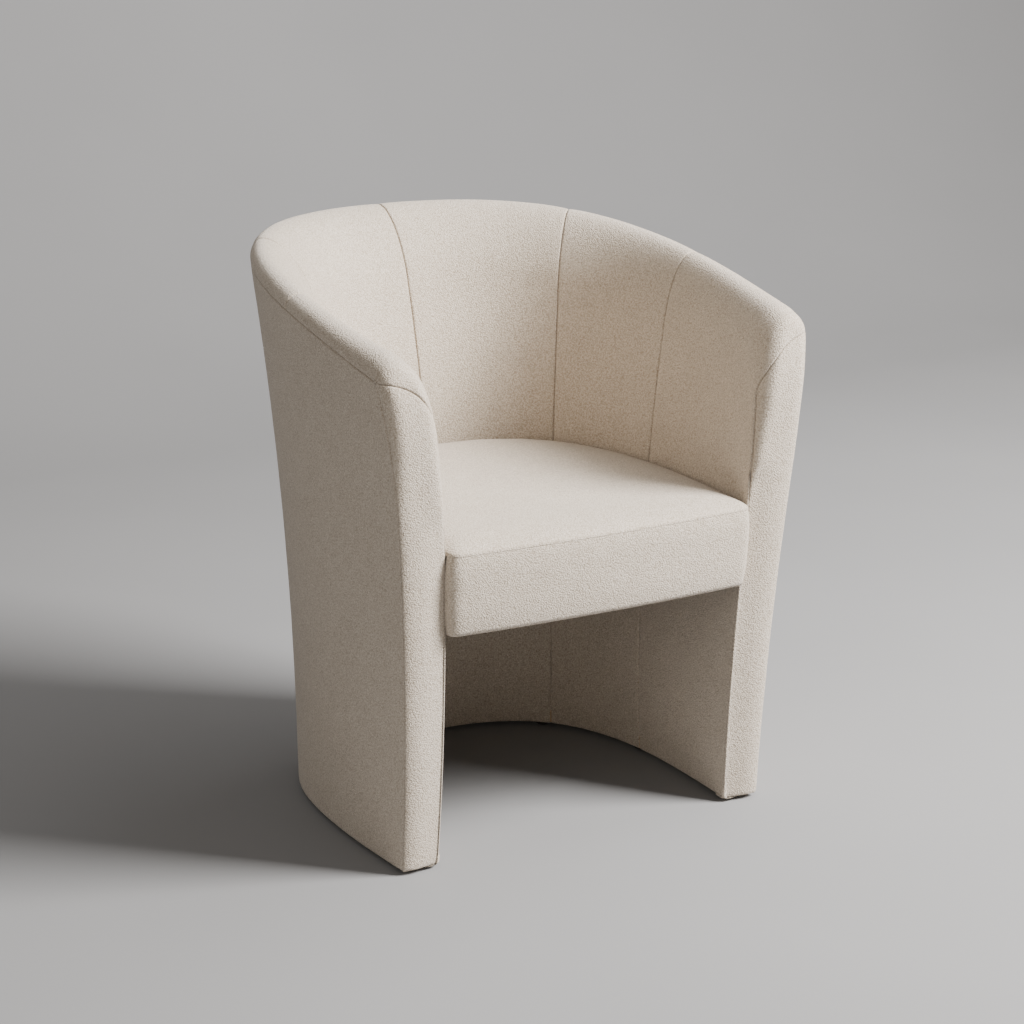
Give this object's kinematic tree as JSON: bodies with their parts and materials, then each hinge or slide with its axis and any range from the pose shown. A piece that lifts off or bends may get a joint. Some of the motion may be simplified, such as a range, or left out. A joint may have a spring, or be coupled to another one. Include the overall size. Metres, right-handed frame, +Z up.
{
  "type": "tub armchair",
  "caption": "Upholstered tub armchair: a padded wall curves round the back and arms down to the floor, with a rolled rim and a fixed D-shaped seat, in fine oatmeal fabric.",
  "frame": {"origin": "on the floor, midway between the foremost and rearmost points and on the centre line", "axes": "+Z up, the sitter faces -Y, +X is to the viewer's right when looking at the front"},
  "size_m": [0.6312, 0.6454, 0.7482],
  "materials": {
    "upholstery_fabric": "matte",
    "frame_wood": "matte",
    "hardboard": "matte",
    "pale_foam": "matte",
    "grey_wadding": "matte",
    "black_lining": "matte",
    "spring_steel": "satin",
    "zinc_steel": "satin",
    "dark_plastic": "matte"
  },
  "bodies": {
    "root": {"base_lining": "black_lining", "base_plate": "frame_wood", "glide_nails": "zinc_steel", "glides": "dark_plastic", "inner_board": "hardboard", "inner_panel_left_back": "upholstery_fabric", "inner_panel_left_front": "upholstery_fabric", "inner_panel_left_middle": "upholstery_fabric", "inner_panel_right_back": "upholstery_fabric", "inner_panel_right_front": "upholstery_fabric", "inner_panel_right_middle": "upholstery_fabric", "left_facing_cover": "upholstery_fabric", "left_facing_pad": "pale_foam", "left_front_post": "frame_wood", "mid_rail": "frame_wood", "outer_board": "hardboard", "outer_panel_back": "upholstery_fabric", "outer_panel_left": "upholstery_fabric", "outer_panel_right": "upholstery_fabric", "outer_wadding": "grey_wadding", "right_facing_cover": "upholstery_fabric", "right_facing_pad": "pale_foam", "right_front_post": "frame_wood", "seat_bolt_washers": "zinc_steel", "seat_bolts": "zinc_steel", "seat_border": "upholstery_fabric", "seat_corner_blocks": "frame_wood", "seat_dust_cover": "black_lining", "seat_felt": "grey_wadding", "seat_foam": "pale_foam", "seat_front_band": "upholstery_fabric", "seat_front_pad": "pale_foam", "seat_front_rail": "frame_wood", "seat_left_rail": "frame_wood", "seat_rear_rail": "frame_wood", "seat_right_rail": "frame_wood", "seat_springs": "spring_steel", "seat_top_cover": "upholstery_fabric", "shell_foam": "pale_foam", "spring_clips": "spring_steel", "spring_tie_wire": "spring_steel", "tee_nuts": "zinc_steel", "top_rail": "frame_wood", "upright_back": "frame_wood", "upright_left_front": "frame_wood", "upright_left_middle": "frame_wood", "upright_left_rear": "frame_wood", "upright_right_front": "frame_wood", "upright_right_middle": "frame_wood", "upright_right_rear": "frame_wood"}
  },
  "joints": []
}
